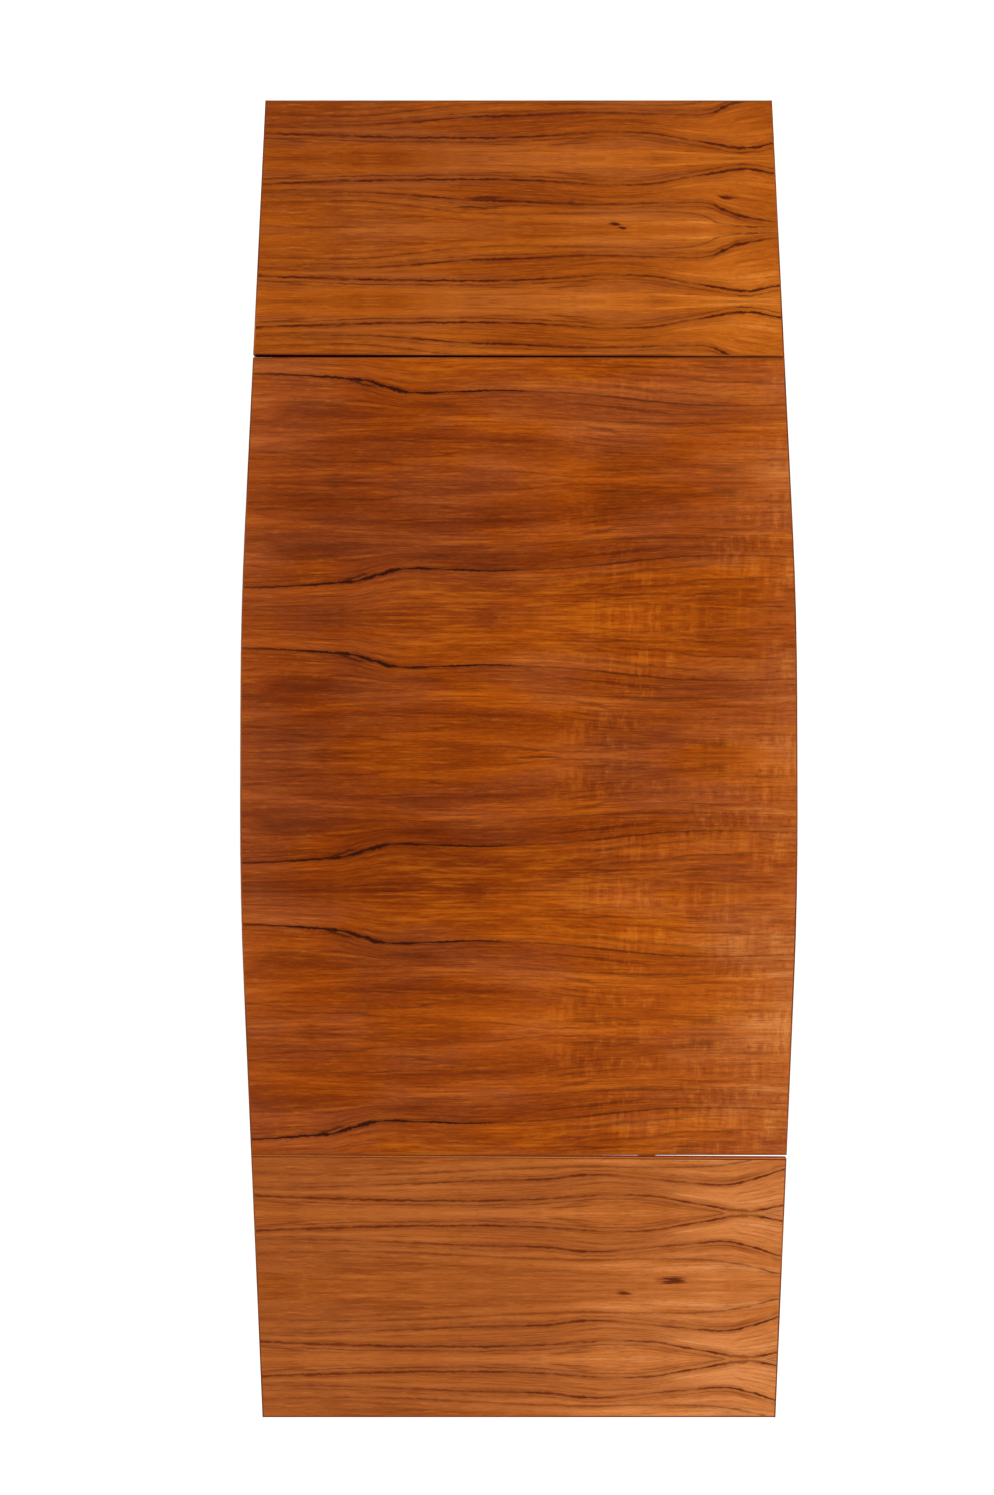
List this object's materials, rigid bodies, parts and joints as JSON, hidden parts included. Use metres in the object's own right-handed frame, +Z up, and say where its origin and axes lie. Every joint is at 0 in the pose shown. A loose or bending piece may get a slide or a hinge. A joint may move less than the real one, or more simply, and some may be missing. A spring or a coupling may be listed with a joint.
{
  "type": "extending dining table",
  "caption": "Boat-shaped veneered dining table on turned tapered legs, with end leaves on wooden bearers that slide into the apron frame to lengthen the top.",
  "frame": {"origin": "on the floor under the middle of the table", "axes": "+X along the table towards end A, +Y across it to the left side, +Z up"},
  "size_m": [2.207, 0.934, 0.73],
  "materials": {
    "main_veneer": "red-brown book-matched veneer, satin lacquer",
    "leaf_veneer": "golden-brown book-matched veneer with dark veins, satin lacquer",
    "main_edging": "solid wood edging, worn satin lacquer",
    "leaf_edging": "solid wood edging, worn satin lacquer",
    "backing_veneer": "plain backing veneer, thin lacquer",
    "core_board": "unfinished blockboard core",
    "leg_wood": "turned solid wood, satin oil",
    "frame_wood": "solid wood, satin oil",
    "bearer_wood": "planed beech, waxed",
    "block_wood": "sawn beech, unfinished",
    "glide_metal": "plated steel",
    "screw_metal": "plain brass"
  },
  "bodies": {
    "table": {"button_screws": "screw_metal", "corner_block_a_left": "block_wood", "corner_block_a_right": "block_wood", "corner_block_b_left": "block_wood", "corner_block_b_right": "block_wood", "corner_block_screws": "screw_metal", "cross_rail_a": "frame_wood", "cross_rail_b": "frame_wood", "end_apron_a": "frame_wood", "end_apron_b": "frame_wood", "glide_a_left": "glide_metal", "glide_a_right": "glide_metal", "glide_b_left": "glide_metal", "glide_b_right": "glide_metal", "leg_a_left": "leg_wood", "leg_a_right": "leg_wood", "leg_b_left": "leg_wood", "leg_b_right": "leg_wood", "main_backing_veneer": "backing_veneer", "main_core": "core_board", "main_edging_end_a": "main_edging", "main_edging_end_b": "main_edging", "main_edging_left": "main_edging", "main_edging_right": "main_edging", "main_veneer_sheet_1": "main_veneer", "main_veneer_sheet_2": "main_veneer", "main_veneer_sheet_3": "main_veneer", "main_veneer_sheet_4": "main_veneer", "main_veneer_sheet_5": "main_veneer", "main_veneer_sheet_6": "main_veneer", "side_apron_left": "frame_wood", "side_apron_right": "frame_wood", "top_buttons": "block_wood"},
    "leaf_a": {"leaf_a_backing_veneer": "backing_veneer", "leaf_a_batten": "bearer_wood", "leaf_a_bearer_left": "bearer_wood", "leaf_a_bearer_right": "bearer_wood", "leaf_a_core": "core_board", "leaf_a_edging_inner": "leaf_edging", "leaf_a_edging_left": "leaf_edging", "leaf_a_edging_outer": "leaf_edging", "leaf_a_edging_right": "leaf_edging", "leaf_a_screws": "screw_metal", "leaf_a_stop_pegs": "bearer_wood", "leaf_a_veneer_sheets": "leaf_veneer"},
    "leaf_b": {"leaf_b_backing_veneer": "backing_veneer", "leaf_b_batten": "bearer_wood", "leaf_b_bearer_left": "bearer_wood", "leaf_b_bearer_right": "bearer_wood", "leaf_b_core": "core_board", "leaf_b_edging_inner": "leaf_edging", "leaf_b_edging_left": "leaf_edging", "leaf_b_edging_outer": "leaf_edging", "leaf_b_edging_right": "leaf_edging", "leaf_b_screws": "screw_metal", "leaf_b_stop_pegs": "bearer_wood", "leaf_b_veneer_sheets": "leaf_veneer"}
  },
  "joints": [
    {"name": "leaf_a_draw", "type": "slide", "parent": "table", "child": "leaf_a", "axis": [1, 0, 0], "range_m": [0, 0.37]},
    {"name": "leaf_b_draw", "type": "slide", "parent": "table", "child": "leaf_b", "axis": [-1, 0, 0], "range_m": [0, 0.37]}
  ]
}
